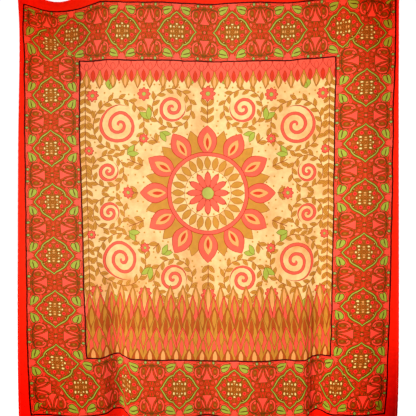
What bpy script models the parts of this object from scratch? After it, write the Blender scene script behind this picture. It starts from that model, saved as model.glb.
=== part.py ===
"""Printed cotton wall tapestry, hung by its top edge: one cloth with a turned hem on all four sides.

The cloth is laid out flat first, with across measured from the middle of the print (right is plus) and
down measured from the top edge. The folds push that flat cloth back or forward, each row keeps its own
length along the folds, and sags and lifts move it up or down. Metres, +Z up, the face of the cloth looks
to -Y, and the origin is the middle of the top edge.
"""

import bpy
import numpy as np

# Driving dimensions of the flat cloth
PRINT_WIDTH = 2.054
CLOTH_DROP = 2.40
SIDE_MARGIN = 0.024
SIDE_FLARE = 0.040
FLARE_GROWTH = 3.2
HEM_WIDTH = 0.015
HEM_STEP = 0.003
CLOTH_THICK = 0.0015
HEM_THICK = 0.003

# How finely the sheet is divided, and how finely a row is measured along its folds
FIELD_COLUMNS = 66
FIELD_ROWS = 30
ROW_CROWDING = 1.15
MEASURE_STEPS = 640

# Vertical folds: plus depth is a valley pushed back, minus is a ridge towards the viewer
FOLD_COLUMNS = ("top_at", "bottom_at", "half_width", "top_depth", "bottom_depth", "growth")
FOLDS = (
    (-0.560, -0.515, 0.105, 0.002, 0.052, 2.2),
    (0.600, 0.625, 0.100, 0.002, 0.054, 2.6),
    (-0.270, -0.260, 0.230, -0.012, -0.026, 0.8),
    (0.010, 0.000, 0.085, 0.006, 0.014, 1.0),
    (0.270, 0.275, 0.230, -0.014, -0.028, 0.8),
    (0.840, 0.880, 0.170, -0.018, -0.034, 0.5),
    (-0.800, -0.780, 0.210, -0.010, -0.024, 0.8),
)

# Sags of the top edge between the points that hold it, each with the roll of slack cloth below it
SAG_COLUMNS = ("at", "half_width", "drop", "roll", "reach")
SAGS = (
    (-0.825, 0.235, 0.066, 0.032, 0.280),
    (-0.150, 0.420, 0.010, 0.012, 0.350),
    (0.380, 0.200, 0.006, 0.006, 0.300),
)

# Places where the bottom edge is drawn up
LIFT_COLUMNS = ("at", "half_width", "height", "growth")
LIFTS = (
    (-0.518, 0.115, 0.034, 2.4),
    (0.612, 0.135, 0.034, 3.0),
    (0.900, 0.300, 0.022, 2.0),
    (-0.860, 0.300, 0.016, 2.0),
)

# The top right corner is held higher than the rest of the edge
CORNER_RISE = 0.036
CORNER_FROM = 0.35
CORNER_RUN = 0.70
CORNER_CURVE = 1.5
CORNER_FADE = 2.0

CLOTH_COLOUR = (0.80, 0.09, 0.03, 1.0)
CLOTH_ROUGHNESS = 0.9
OBJECT_NAME = "wall_tapestry"
NODE_NAME = "tapestry_cloth"


def rows_of(table, columns):
    """Each row of a table as a dictionary, by column name."""
    return [dict(zip(columns, row)) for row in table]


def hump(distance):
    """One smooth bump: 1 at no distance, 0 from a distance of 1 outwards."""
    return 0.5 + 0.5 * np.cos(np.pi * np.clip(distance, -1.0, 1.0))


def half_width(down):
    """Half of the flat cloth's width: it was cut a little wider towards the bottom."""
    return PRINT_WIDTH / 2 + SIDE_MARGIN + SIDE_FLARE * (down / CLOTH_DROP) ** FLARE_GROWTH


def depth_of(across, down):
    """How far back the cloth lies: the sum of its vertical folds, less the rolls under the sags."""
    part_down = down / CLOTH_DROP
    depth = np.zeros(np.broadcast(across, down).shape)
    for fold in rows_of(FOLDS, FOLD_COLUMNS):
        centre = fold["top_at"] + (fold["bottom_at"] - fold["top_at"]) * part_down
        size = fold["top_depth"] + (fold["bottom_depth"] - fold["top_depth"]) * part_down ** fold["growth"]
        depth = depth + size * hump((across - centre) / fold["half_width"])
    for sag in rows_of(SAGS, SAG_COLUMNS):
        below = down / sag["reach"]
        roll = sag["roll"] * below * np.exp(1 - below)
        depth = depth - roll * hump((across - sag["at"]) / sag["half_width"])
    return depth


def rise_of(across, down):
    """How far a point is moved up from where a flat cloth would have it."""
    part_down = down / CLOTH_DROP
    to_corner = np.maximum((across - CORNER_FROM) / CORNER_RUN, 0.0)
    rise = CORNER_RISE * to_corner ** CORNER_CURVE * (1 - part_down) ** CORNER_FADE
    for sag in rows_of(SAGS, SAG_COLUMNS):
        drop = sag["drop"] * np.exp(-down / sag["reach"])
        rise = rise - drop * hump((across - sag["at"]) / sag["half_width"])
    for lift in rows_of(LIFTS, LIFT_COLUMNS):
        height = lift["height"] * part_down ** lift["growth"]
        rise = rise + height * hump((across - lift["at"]) / lift["half_width"])
    return rise


def width_hung(across, down):
    """Where each point of a row lands once the folds take up cloth: the length along the row is kept."""
    steps = np.linspace(-1.0, 1.0, MEASURE_STEPS + 1)[None, :] * (half_width(down) + HEM_WIDTH)
    back = np.diff(depth_of(steps, down), axis=1)
    run = np.sqrt(np.maximum(np.diff(steps, axis=1) ** 2 - back**2, 0.0))
    hung = np.concatenate([np.zeros((len(down), 1)), np.cumsum(run, axis=1)], axis=1)
    hung = hung - hung[:, MEASURE_STEPS // 2, None]
    return np.stack([np.interp(wanted, flat, place) for wanted, flat, place in zip(across, steps, hung)])


def hung_points(across, down):
    """Points of the hung cloth from flat ones, with the middle of the top edge at the origin."""
    middle = np.zeros((1, 1))
    x = width_hung(across, down)
    y = depth_of(across, down) - depth_of(middle, middle)
    z = rise_of(across, down) - down - rise_of(middle, middle)
    return np.stack([x, y, z], axis=2)


def spaced_with_hem(first, last, count, crowding):
    """Stations from one edge to the other: the edge, the hem, the step down from it, and the field."""
    inner_first = first + HEM_WIDTH + HEM_STEP
    inner_last = last - HEM_WIDTH - HEM_STEP
    field = inner_first + (inner_last - inner_first) * np.linspace(0.0, 1.0, count + 1) ** crowding
    return np.concatenate([[first, first + HEM_WIDTH], field, [last - HEM_WIDTH, last]])


def sheet_faces(rows, columns):
    """Four-sided faces of a grid of points, turned so that they look to -Y."""
    index = np.arange(rows * columns).reshape(rows, columns)
    corners = (index[:-1, :-1], index[1:, :-1], index[1:, 1:], index[:-1, 1:])
    return np.stack(corners, axis=2).reshape(-1, 4)


def cloth_sheet(collection):
    """The cloth: an open sheet on its folds, thickened backwards, and thicker where the hem is turned."""
    down = spaced_with_hem(0.0, CLOTH_DROP, FIELD_ROWS, ROW_CROWDING)[:, None]
    across = np.stack([spaced_with_hem(-half, half, FIELD_COLUMNS, 1.0) for half in half_width(down)[:, 0]])
    rows, columns = across.shape
    points = hung_points(across, down).reshape(-1, 3)
    mesh = bpy.data.meshes.new(NODE_NAME)
    mesh.from_pydata(points.tolist(), [], sheet_faces(rows, columns).tolist())
    mesh.shade_smooth()
    cloth = bpy.data.objects.new(NODE_NAME, mesh)
    collection.objects.link(cloth)

    index = np.arange(rows * columns).reshape(rows, columns)
    field = index[2:-2, 2:-2].ravel().tolist()
    hem = np.setdiff1d(index, field).tolist()
    thickness = cloth.vertex_groups.new(name="thickness")
    thickness.add(field, CLOTH_THICK / HEM_THICK, "REPLACE")
    thickness.add(hem, 1.0, "REPLACE")

    solid = cloth.modifiers.new("Thickness", "SOLIDIFY")
    solid.thickness = HEM_THICK
    solid.offset = -1.0
    solid.vertex_group = thickness.name
    solid.use_rim = True
    return cloth


def cotton():
    """Printed cotton: the red of its margin, dull."""
    material = bpy.data.materials.new("printed_cotton")
    material.use_nodes = True
    shader = material.node_tree.nodes["Principled BSDF"]
    shader.inputs["Base Color"].default_value = CLOTH_COLOUR
    shader.inputs["Roughness"].default_value = CLOTH_ROUGHNESS
    shader.inputs["Metallic"].default_value = 0.0
    return material


def main():
    for old in list(bpy.data.objects):
        bpy.data.objects.remove(old, do_unlink=True)
    collection = bpy.data.collections.new(OBJECT_NAME)
    bpy.context.scene.collection.children.link(collection)
    cloth = cloth_sheet(collection)
    cloth.data.materials.append(cotton())


main()
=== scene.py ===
"""Printed cotton wall tapestry: the looks of the hung cloth, its print, its hems and their stitching.

The cloth is laid out flat first, with across measured from the middle of the print (right is plus) and
down measured from the top edge, then hung on its folds. The print is drawn on the flat cloth in
millimetres, so it bends and creases with it. Lengths are metres unless a name or a comment says otherwise.
"""

from collections import namedtuple

import bpy
import numpy as np
from bpy.props import FloatProperty, FloatVectorProperty, IntProperty, PointerProperty
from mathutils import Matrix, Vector


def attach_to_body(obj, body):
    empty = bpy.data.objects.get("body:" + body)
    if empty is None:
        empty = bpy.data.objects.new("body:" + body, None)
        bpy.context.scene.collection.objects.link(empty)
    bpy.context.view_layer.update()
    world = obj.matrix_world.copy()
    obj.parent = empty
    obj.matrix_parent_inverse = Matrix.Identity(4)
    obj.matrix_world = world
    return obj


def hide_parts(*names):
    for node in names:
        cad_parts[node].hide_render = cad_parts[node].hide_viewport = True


bl_info = {
    "name": "Printed wall tapestry",
    "version": (1, 0, 0),
    "blender": (4, 5, 0),
    "location": "View3D > Sidebar > Tapestry",
    "description": "Hangs a printed cotton tapestry on its folds, hems it and lights it",
    "category": "Object",
}

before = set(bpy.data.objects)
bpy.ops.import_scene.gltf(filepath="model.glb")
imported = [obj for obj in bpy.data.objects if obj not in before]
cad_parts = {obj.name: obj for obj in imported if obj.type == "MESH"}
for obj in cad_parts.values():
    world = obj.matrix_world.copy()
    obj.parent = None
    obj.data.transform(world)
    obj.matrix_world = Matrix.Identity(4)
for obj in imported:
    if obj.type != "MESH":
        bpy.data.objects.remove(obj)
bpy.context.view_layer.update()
BODY = "root"
CLOTH_NODE = "tapestry_cloth"
PRINT_MAP = "print"
BAKE_MAP = "OFBake"
FACE_SIDE = "printed_face"


def table(columns, *rows, defaults=()):
    """Rows whose values go by the names of their columns. Columns with defaults can be left out."""
    row = namedtuple("Row", columns, defaults=defaults)
    return [row(*values) for values in rows]


# The flat cloth, the same as the solid's
PRINT_WIDTH = 2.054
CLOTH_DROP = 2.40
SIDE_MARGIN = 0.024
SIDE_FLARE = 0.040
FLARE_GROWTH = 3.2
HEM_WIDTH = 0.015
MEASURE_STEPS = 640

# Vertical folds: plus depth is a valley pushed back, minus is a ridge towards the viewer
FOLDS = table(
    "top_at bottom_at half_width top_depth bottom_depth growth",
    (-0.560, -0.515, 0.105, 0.002, 0.052, 2.2),
    (0.600, 0.625, 0.100, 0.002, 0.054, 2.6),
    (-0.270, -0.260, 0.230, -0.012, -0.026, 0.8),
    (0.010, 0.000, 0.085, 0.006, 0.014, 1.0),
    (0.270, 0.275, 0.230, -0.014, -0.028, 0.8),
    (0.840, 0.880, 0.170, -0.018, -0.034, 0.5),
    (-0.800, -0.780, 0.210, -0.010, -0.024, 0.8),
)

# Sags of the top edge between the points that hold it, each with the roll of slack cloth below it
SAGS = table(
    "at half_width drop roll reach",
    (-0.825, 0.235, 0.066, 0.032, 0.280),
    (-0.150, 0.420, 0.010, 0.012, 0.350),
    (0.380, 0.200, 0.006, 0.006, 0.300),
)

# Places where the bottom edge is drawn up
LIFTS = table(
    "at half_width height growth",
    (-0.518, 0.115, 0.034, 2.4),
    (0.612, 0.135, 0.034, 3.0),
    (0.900, 0.300, 0.022, 2.0),
    (-0.860, 0.300, 0.016, 2.0),
)

# The top right corner is held higher than the rest of the edge
CORNER_RISE = 0.036
CORNER_FROM = 0.35
CORNER_RUN = 0.70
CORNER_CURVE = 1.5
CORNER_FADE = 2.0

# Soft creases from one flat point to another, with how far each reaches to its left and to its right as
# one looks along it upwards: plus depth is a trough
CREASES = table(
    "from_across from_down to_across to_down left right depth",
    (0.005, 0.60, 0.000, 2.40, 0.016, 0.016, 0.0022),
    (-0.575, 1.20, -0.512, 2.44, 0.030, 0.030, 0.0050),
    (-0.512, 1.70, -0.502, 2.72, 0.034, 0.012, 0.0095),
    (-0.590, 1.95, -0.600, 2.60, 0.024, 0.020, -0.0025),
    (0.598, 1.30, 0.622, 2.44, 0.028, 0.028, 0.0040),
    (0.566, 1.75, 0.558, 2.70, 0.024, 0.012, 0.0050),
    (0.592, 1.70, 0.590, 2.70, 0.018, 0.014, 0.0060),
    (-0.590, 0.02, -0.700, 0.42, 0.030, 0.030, 0.0030),
    (-1.040, 0.03, -0.930, 0.40, 0.028, 0.028, 0.0030),
    (-0.640, 0.00, -0.420, 0.30, 0.034, 0.034, -0.0030),
)

# Slow unevenness of hanging cotton: wave lengths across and down, their starts, and the height. The waves
# bend sideways on their way down, by so much and at so many radians a metre. A share of their height is even,
# and the rest comes and goes on the way down
RIPPLES = table(
    "across_length down_length across_start down_start height",
    (0.310, 1.150, 0.6, 2.1, 0.0013),
    (0.190, 0.840, 2.4, 0.3, 0.0008),
    (0.520, 0.430, 4.0, 1.2, 0.0010),
    (0.137, 0.600, 1.1, 3.3, 0.0005),
)
RIPPLE_BEND, BEND_RATE = 0.03, 5.1
RIPPLE_EVEN = 0.6

# Places across where the sheet is divided more finely, for the two deep folds, and how each row's steps
# are measured for that
FINE_PLACES = (-0.515, 0.600)
FINE_REACH = 0.150
FINE_GAIN = 2.2
DENSITY_STEPS = 1200
HEM_STATIONS = (0.0, 0.004, 0.008, 0.0115, HEM_WIDTH, HEM_WIDTH + 0.0015)

# The hem's thickness goes down to the cloth's over a short run that ends a little past the hem
HEM_STEP_END = 0.0008
HEM_STEP_RUN = 0.0012

# The hem's puckers: how far in from the edge they reach, and how their spacing and their depth wander along
# the edge, as waves of so many radians a metre
PUCKER_REACH = 0.045
PUCKER_WANDER, WANDER_RATE = 1.7, 9.0
PUCKER_CHANGE, CHANGE_RATE = 0.3, 23.0

# Rows and places in a row of the grid in which loose points are looked up
LOOK_ROWS = 240
LOOK_COLUMNS = 560

# A stitch from end to end: how far along it each section is, as a share of its length, then the section's
# width and height as shares of the thread's
STITCH_SECTIONS = (
    (-0.5, 0.25, 0.0), (-0.42, 0.8, 0.7), (-0.2, 1.0, 1.0),
    (0.2, 1.0, 1.0), (0.42, 0.8, 0.7), (0.5, 0.25, 0.0),
)

# How high a stitch stands, as a share of its width, how far it clears the cloth, how far ahead the seam's
# direction is taken and how far off the cloth's slope, and the seam's steps down and across the cloth
STITCH_HEIGHT = 0.45
STITCH_CLEAR = 0.00002
AHEAD = 0.0005
SLOPE_STEP = 0.001
SEAM_STEPS = (600, 500)

# The bake's map, in shares of its size: the gap at its head and foot, where the cloth's face, its back and
# the first lane of the rims start and how wide each is, and from one lane to the next
BAKE_GAP = 0.002
BAKE_FACE = (0.004, 0.736)
BAKE_BACK = (0.748, 0.22)
BAKE_LANE = (0.973, 0.004)
LANE_STEP = 0.006

# The stage: the camera's place across, the soft light's place and turn, the floor's rings and their sides,
# and how bright the white behind the cloth is
CAMERA_ACROSS = -0.00275
LIGHT_PLACE = (0.30, -1.9, -0.45)
LIGHT_TURN = (1.45, 0.0, 0.1)
FLOOR_RADII = (0.0, 0.6, 1.2, 1.8, 2.6, 4.0, 6.0)
FLOOR_SIDES = 64
BACKDROP_STRENGTH = 1.05

# The layout of the print on the flat cloth, in millimetres from its outline
OUTLINE_HALF_WIDTH = 1027.0
OUTLINE_TOP = 56.0
OUTLINE_DROP = 2280.0
BAND_WIDTH = 319.0
LINE_WIDTH = 8.0
CELL = 150.0

# First medallion and pitch along each side of the outline, in millimetres
TOP_BAND = (240.0, 306.0)
BOTTOM_BAND = (267.0, 301.0)
LEFT_BAND = (220.0, 295.0)
RIGHT_BAND = (200.0, 296.7)

# The top band's first medallion stands nearer to the second: where that one is, in millimetres from the
# print's middle, and the pitch between the two
CLOSE_AT = -481.0
CLOSE_PITCH = 272.0

# Painted shade: the colour is made deeper away from a lit middle of the cloth, as light that falls off. Its
# middle, in millimetres from the outline, and the distances across and down at which that reaches 1, then
# towards the foot and towards the right side
LIT_MIDDLE_DOWN = 1100.0
SHADE_REACH = (1000.0, 1100.0)
LOW_SHADE_FROM = 1300.0
LOW_SHADE_RUN = 800.0
RIGHT_SHADE_RUN = 1400.0
RIGHT_SHADE_START = 0.1

# Painted shade in the lower right corner: where it starts across and down, how far it takes to be full, and
# the share of the colour's brightness that it takes away
SHADED_CORNER_START = (930.0, 1850.0)
SHADED_CORNER_REACH = (330.0, 400.0)
SHADED_CORNER_DARK = 1.05

# The colour's brightness, its depth as a power, and its share of the redder tint: what each starts from, and
# what it takes of the mottle, which is uneven dye, and of the painted shade in the corners, the foot and the
# right side
TONE_START, TONE_MOTTLE, TONE_SHADE = 0.845, 0.34, -0.008
SHADE_POWER_START, SHADE_POWER_CORNER, SHADE_POWER_LOW, SHADE_POWER_RIGHT = 0.90, 0.10, 0.10, 0.14
SHADE_REDDER_START, SHADE_REDDER_CORNER, SHADE_REDDER_LOW = -0.6, 0.55, -0.9
SHADE_REDDER_TINT = (1.0, 0.60, 0.38)

# The slow and the quick wobble of the print's lines: the noise's scale and its size in millimetres
WOBBLE_SCALES = (7.0, 55.0)
WOBBLE_SIZES = (9.0, 3.0)

# The panel's stained ground: how much of its noise and of the way down it takes, and what it starts from.
# The seeds on it: the scale of their pattern, the size of its cells in millimetres, and a seed's radius
STAIN_NOISE, STAIN_DOWN, STAIN_START = 3.0, 0.5, -1.45
SEED_SCALE, SEED_CELL, SEED_RADIUS = 22.0, 45.0, 5.0

# How much of the print the undyed cotton hides on the reverse, the scales of the noise for the weave's two
# sets of threads, and how rough the cotton is: at least, and more with the mottle
REVERSE_COVER = 0.42
THREAD_SCALES = ((60.0, 900.0, 1.0), (900.0, 60.0, 1.0))
ROUGH_START, ROUGH_MOTTLE = 0.80, 0.14

# How far the print is off square on the cloth: for some heights, in metres, its shift in millimetres at
# places across, in centimetres: to the right in the first table and down in the second
ACROSS_DRIFT = (
    (0.06, {-103: 5, -71: 4, 71: -3, 103: 7}),
    (0.21, {-103: -2, -98: -3, -87: 8, -75: 6, -60: 6, -27: 2, 18: -1, 33: 0, 48: 2, 62: 2, 77: -5, 92: -1,
           103: 6}),
    (0.37, {-103: 5, -87: 11, -71: 3, 71: -7, 103: 4}),
    (0.77, {-103: 12, -71: 0, 71: -13, 103: -6}),
    (1.13, {-103: 15, -71: 9, 71: -16, 103: -9}),
    (1.49, {-103: 16, -71: 15, 71: -19, 103: -12}),
    (2.00, {-103: 9, -71: 18, -62: 20, -56: 20, -49: -10, -40: -4, 18: 2, 33: 8, 44: 11, 52: 8, 62: -4,
           71: -20, 103: -15}),
    (2.18, {-103: 7, -86: 20, -78: 35, -60: 28, -55: 22, -48: -14, -44: -12, -40: -6, -27: -4, -10: -2,
           18: 1, 33: 6, 48: 7, 59: 3, 70: -12, 80: -28, 92: -18, 103: -11}),
)
DOWN_DRIFT = (
    (0.06, {-103: 16, -97: 21, -90: 24, -80: 21, -75: 24, -70: 26, -65: 18, -60: 4, -56: 3, -42: 5, -20: 9,
           0: 13, 20: 14, 42: 11, 55: 5, 62: 0, 70: -2, 85: 2, 103: 4}),
    (0.12, {-103: 4, -97: 6, -90: 20, -85: 28, -75: 34, -70: 29, -65: 15, -60: 5, -56: 4, -42: 6, -20: 9,
           0: 13, 20: 14, 42: 11, 55: 4, 62: 0, 103: 2}),
    (0.21, {-103: -12, -98: -15, -92: 0, -87: 13, -84: 22, -75: 24, -65: 10, -60: 5, -56: 4, -20: 9, 0: 13,
           20: 14, 42: 11, 62: 0, 103: 0}),
    (0.29, {-103: -10, -98: -13, -92: 0, -87: 12, -80: 16, -75: 20, -65: 12, -56: 4, -42: 8, 0: 14, 20: 15,
           42: 11, 55: 2, 70: -2, 85: 0}),
    (0.37, {-103: 0, -87: 6, -80: 4, -66: 13, -56: 4, -49: 2, -42: 9, 0: 14, 20: 16, 42: 11, 55: 1, 70: -3,
           85: 0}),
    (1.20, {-80: 0, -66: 2, -20: 3, 42: 4, 62: 0}),
    (2.02, {-80: 0, -66: 2, -56: 7, -49: 15, -42: 5, -20: 1, 0: 20, 20: 9, 42: 6, 55: 22, 62: 16, 70: -2,
           85: 0}),
    (2.18, {-80: 0, -66: -2, -49: 4, -20: -2, 0: 8, 20: 5, 42: 4, 55: 15, 62: 20, 72: 16, 85: 9, 103: 0}),
    (2.34, {-80: 0, -66: -6, -62: -12, -56: -6, -51: 15, -48: 20, -45: 12, -40: 6, -20: -3, 20: 2, 42: 2,
           50: 5, 55: 25, 60: 28, 63.5: 12, 67: 6, 70: 1, 85: 0, 103: -4}),
)


def dye(red, green, blue):
    """A colour as seen (0 to 255 a channel) as light, by a screen's curve: straight, then a power."""
    seen = np.array([red, green, blue]) / 255
    light = np.where(seen <= 0.04045, seen / 12.92, ((seen + 0.055) / 1.055) ** 2.4)
    return tuple(float(channel) for channel in light)


def hue(name, description, seen):
    """A colour that a user can change, given as it is seen."""
    shown = {"min": 0.0, "max": 1.0, "size": 3, "subtype": "COLOR"}
    return FloatVectorProperty(name=name, description=description, default=dye(*seen), **shown)


def amount(name, description, default, least, most, **kind):
    """A number that a user can change."""
    return FloatProperty(name=name, description=description, default=default, min=least, max=most, **kind)


def span(*words_and_limits):
    """A length that a user can change."""
    return amount(*words_and_limits, unit="LENGTH", subtype="DISTANCE")


class TapestryClothSettings(bpy.types.PropertyGroup):
    thickness: span("Cloth thickness", "Thickness of the single cloth", 0.0008, 0.0003, 0.003)
    hem_thickness: span("Hem thickness", "Thickness of the turned hem", 0.0018, 0.0006, 0.004)
    pucker_depth: span("Hem pucker", "How deep the hem puckers between stitches", 0.0011, 0.0, 0.004)
    pucker_length: span("Pucker spacing", "Distance between puckers along the hem", 0.036, 0.01, 0.1)
    columns: IntProperty(name="Columns", description="Cells across the cloth", default=196, min=40, max=210)
    rows: IntProperty(name="Rows", description="Cells down the cloth", default=212, min=40, max=225)


class TapestryStitchSettings(bpy.types.PropertyGroup):
    pitch: span("Stitch pitch", "Distance from one stitch to the next", 0.0042, 0.002, 0.01)
    length: span("Stitch length", "Length of the thread that shows", 0.0032, 0.001, 0.009)
    width: span("Thread width", "Width of the sewing thread", 0.0009, 0.0003, 0.002)
    inset: span("Inset", "Distance of the seam from the cloth's edge", 0.0115, 0.004, 0.014)
    thread: hue("Thread", "Colour of the sewing thread", (226, 60, 44))


class TapestryPrintSettings(bpy.types.PropertyGroup):
    margin: hue("Margin red", "Plain cloth outside the print", (244, 45, 20))
    ground: hue("Ground red", "Ground of the border", (214, 58, 32))
    coral: hue("Coral", "Flowers, bells and scrolls", (253, 89, 70))
    outline: hue("Outline", "Ruled lines of the border and the panel", (69, 20, 16))
    brown: hue("Brown line", "Drawn lines of the border", (125, 71, 14))
    tan: hue("Tan", "Middles of the scrolls and small spots of the border", (195, 101, 40))
    stem: hue("Stem", "Stems and midribs of the border's leaves", (105, 61, 29))
    olive: hue("Olive", "Edges of the medallions", (109, 84, 11))
    medallion: hue("Medallion green", "Band of the medallions", (174, 176, 76))
    leaf: hue("Leaf green", "Leaves of the border", (167, 174, 64))
    deep_green: hue("Deep green", "Small triangles between the leaves", (158, 170, 94))
    heart: hue("Medallion ground", "Ground inside the medallions", (182, 80, 30))
    lattice: hue("Lattice", "Lattice in the middle of the medallions", (156, 86, 26))
    cream: hue("Cream", "Spots of the medallions", (250, 216, 140))
    flower: hue("Flower red", "Petals of the medallions' flowers", (242, 71, 52))
    eye: hue("Eye red", "Middles of the flowers", (214, 26, 31))
    paper: hue("Panel cream", "Ground of the panel", (252, 203, 135))
    amber: hue("Panel amber", "Stained places of the panel's ground", (238, 161, 90))
    ochre: hue("Ochre", "Leaves of the panel", (201, 133, 48))
    sepia: hue("Sepia", "Drawn lines of the panel", (158, 86, 31))
    rose: hue("Rose", "Vines and petals of the panel", (248, 92, 69))
    wine: hue("Wine", "Lines round the vines", (178, 41, 28))
    backing: hue("Reverse", "How the undyed side of the cotton looks", (236, 141, 103))


class TapestryStageSettings(bpy.types.PropertyGroup):
    camera_distance: span("Camera distance", "From the lens to the cloth", 2.2, 1.0, 6.0)
    camera_height: span("Camera height", "Height of the lens, from the top edge", -1.185, -2.4, 0.5)
    camera_lens: amount("Lens", "Focal length on a 36 mm sensor", 34.6, 20, 90, unit="CAMERA")
    light_power: amount("Main light", "Power of the soft light beside the camera", 13.0, 0, 400)
    side_strength: amount("Side light", "Strength of the far soft light from the left", 2.3, 0, 10)
    side_from: FloatVectorProperty(
        name="Side light from", description="Direction of the far light", default=(-0.70, -0.66, 0.28), size=3
    )
    sky_strength: amount("Fill", "Even light from all round", 0.08, 0, 2)
    floor_level: span("Floor level", "Height of the floor, from the top edge", -2.56, -4.0, -2.46)
    floor_colour: hue("Floor colour", "Pale studio floor", (236, 235, 233))


class Shader:
    """The nodes of a material or of the world, its owner. add() makes a node, and a Value stands for what
    comes out of it."""

    def __init__(self, owner, surface="Principled BSDF"):
        owner.use_nodes = True
        self.owner, self.tree = owner, owner.node_tree
        self.surface = self.tree.nodes[surface]

    def add(self, kind, settings, values, out=0):
        """A node of a kind, with its settings made first, then its sockets set or linked, and one output."""
        node = self.tree.nodes.new("ShaderNode" + kind)
        for name, setting in settings.items():
            if name == "points":
                self.set_points(node.mapping, setting)
            else:
                setattr(node, name, setting)
        self.feed(node, values)
        return Value(self, node.outputs[out])

    def feed(self, node, values):
        """Sets each socket to a number or colour, or links it."""
        for key, value in values.items():
            if isinstance(value, Value):
                self.tree.links.new(value.socket, node.inputs[key])
            else:
                node.inputs[key].default_value = value

    @staticmethod
    def set_points(mapping, points):
        """A curve's points, joined by straight lines."""
        curve = mapping.curves[0]
        for number, (x, y) in enumerate(points):
            point = curve.points[number] if number < 2 else curve.points.new(x, y)
            point.location = (x, y)
        for point in curve.points:
            point.handle_type = "VECTOR"
        mapping.update()

    def vector(self, operation, *values, out=0):
        """Vector Math on places."""
        return self.add("VectorMath", {"operation": operation}, dict(enumerate(values)), out)

    def mixed(self, share, under, over, blend="MIX"):
        """Under where the share is 0, over, or under times over, where it is 1. It is kept from 0 to 1."""
        settings = {"data_type": "RGBA", "blend_type": blend}
        return self.add("Mix", settings, {0: share, 6: rgba(under), 7: rgba(over)}, 2)

    def noise(self, place, scale, detail=2.0, roughness=0.5, out=0):
        """Cloudy noise, as a number or, from the second output, as a colour."""
        values = {"Vector": place, "Scale": scale, "Detail": detail, "Roughness": roughness}
        return self.add("TexNoise", {"noise_dimensions": "2D"}, values, out)

    def curve(self, share, points):
        """A table of points looked up by a share from 0 to 1, straight between them."""
        return self.add("FloatCurve", {"points": points}, {1: share})


def rgba(colour):
    """A colour with its fourth channel, for a socket. A Value stays as it is."""
    return colour if isinstance(colour, Value) else (*tuple(colour)[:3], 1.0)


class Value:
    """A number that varies over the surface. Each operator on it adds one Math node."""

    def __init__(self, shader, socket):
        self.shader, self.socket = shader, socket

    def part(self, out):
        """Another output of the node that the value comes from."""
        return Value(self.shader, self.socket.node.outputs[out])

    def math(self, operation, *others, clamp=False):
        """One Math node on the value and others."""
        settings = {"operation": operation, "use_clamp": clamp}
        return self.shader.add("Math", settings, dict(enumerate((self, *others))))

    def __add__(self, other):
        return self.math("ADD", other)

    def __sub__(self, other):
        return self.math("SUBTRACT", other)

    def __rsub__(self, other):
        return self.math("MULTIPLY_ADD", -1.0, other)

    def __mul__(self, other):
        return self.math("MULTIPLY", other)

    def __abs__(self):
        return self.math("ABSOLUTE")

    def scaled(self, times, plus, clamp=False):
        """The value times one thing plus another, in one node."""
        return self.math("MULTIPLY_ADD", times, plus, clamp=clamp)

    def least(self, other):
        return self.math("MINIMUM", other)

    def most(self, other):
        return self.math("MAXIMUM", other)

    __radd__ = __add__
    __rmul__ = __mul__


class Place:
    """A flat place in millimetres: its two parts, and both as one vector once that is asked for. A reach is
    how far outside a shape the place lies."""

    def __init__(self, shader, x, y):
        self.shader, self.x, self.y, self.joined = shader, x, y, None

    @property
    def vector(self):
        if self.joined is None:
            self.joined = self.shader.add("CombineXYZ", {}, {0: self.x, 1: self.y})
        return self.joined

    def local(self, centre, size, turn):
        """Both parts once the place is moved to a centre, turned back by degrees and divided by a size."""
        cosine, sine = float(np.cos(np.radians(turn))), float(np.sin(np.radians(turn)))
        parts = []
        for by_x, by_y, length in ((cosine, sine, size[0]), (-sine, cosine, size[1])):
            start = -(centre[0] * by_x + centre[1] * by_y) / length
            if turn:
                parts.append(self.x.scaled(by_x / length, self.y.scaled(by_y / length, start)))
            else:
                parts.append((self.x if by_x else self.y).scaled(1 / length, start))
        return parts

    def distance(self, centre):
        return self.shader.vector("DISTANCE", self.vector, (*centre, 0.0), out=1)

    def angle(self, centre, turn=0.0):
        """Angle round a centre, from the first part towards the second."""
        return (self.y - centre[1]).math("ARCTAN2", self.x - centre[0]) - float(np.radians(turn))

    def oval(self, centre, size, turn=0.0):
        """Reach of an ellipse: how far its own unit circle is left behind, times its smaller radius."""
        small = min(size)
        if size[0] == size[1]:
            return self.distance(centre) - small
        if turn:
            x, y = self.local(centre, size, turn)
            return x.scaled(x, y * y).math("SQRT").scaled(small, -small)
        shift = (-centre[0] / size[0], -centre[1] / size[1], 0.0)
        unit = self.shader.vector("MULTIPLY_ADD", self.vector, (1 / size[0], 1 / size[1], 0.0), shift)
        return self.shader.vector("LENGTH", unit, out=1).scaled(small, -small)

    def leaf(self, centre, size, turn=0.0):
        """Reach of a leaf pointed at both ends: its half width falls off with the square of its length."""
        x, y = self.local(centre, size, turn)
        return x.scaled(x, abs(y)).scaled(size[1], -size[1])

    def spiral(self, centre, gap, turn, hand):
        """Distance from an even spiral: the radius less the share of a turn times the gap, folded at half
        the gap, so that 0 is on the line. The radius comes with it."""
        angle = self.angle(centre)
        radius = self.distance(centre)
        even = angle.scaled(-hand * gap / (2 * np.pi), radius) - gap * turn / 360
        return even.math("PINGPONG", gap / 2), radius

    def wedge(self, centre, wedges, turn=0.0, mirrored=True):
        """Places round a centre brought into one of so many wedges, mirrored in turn or one after another:
        how far along the wedge's middle, and how far off it."""
        half = float(np.pi / wedges)
        angle = self.angle(centre, turn)
        angle = angle.math("PINGPONG", half) if mirrored else angle.math("WRAP", half, -half)
        radius = self.distance(centre)
        return Place(self.shader, radius * angle.math("COSINE"), radius * angle.math("SINE"))

    def rounded(self, centre, outline):
        """Reach of an outline given as a radius by angle, from the first angle of the table to its last."""
        first, last = outline[0][0], outline[-1][0]
        run = float(np.radians(last - first))
        share = self.angle(centre).scaled(1 / run, -float(np.radians(first)) / run)
        points = [((degrees - first) / (last - first), radius / CHART_FULL) for degrees, radius in outline]
        return self.shader.curve(share, points).scaled(-CHART_FULL, self.distance(centre))


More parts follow.
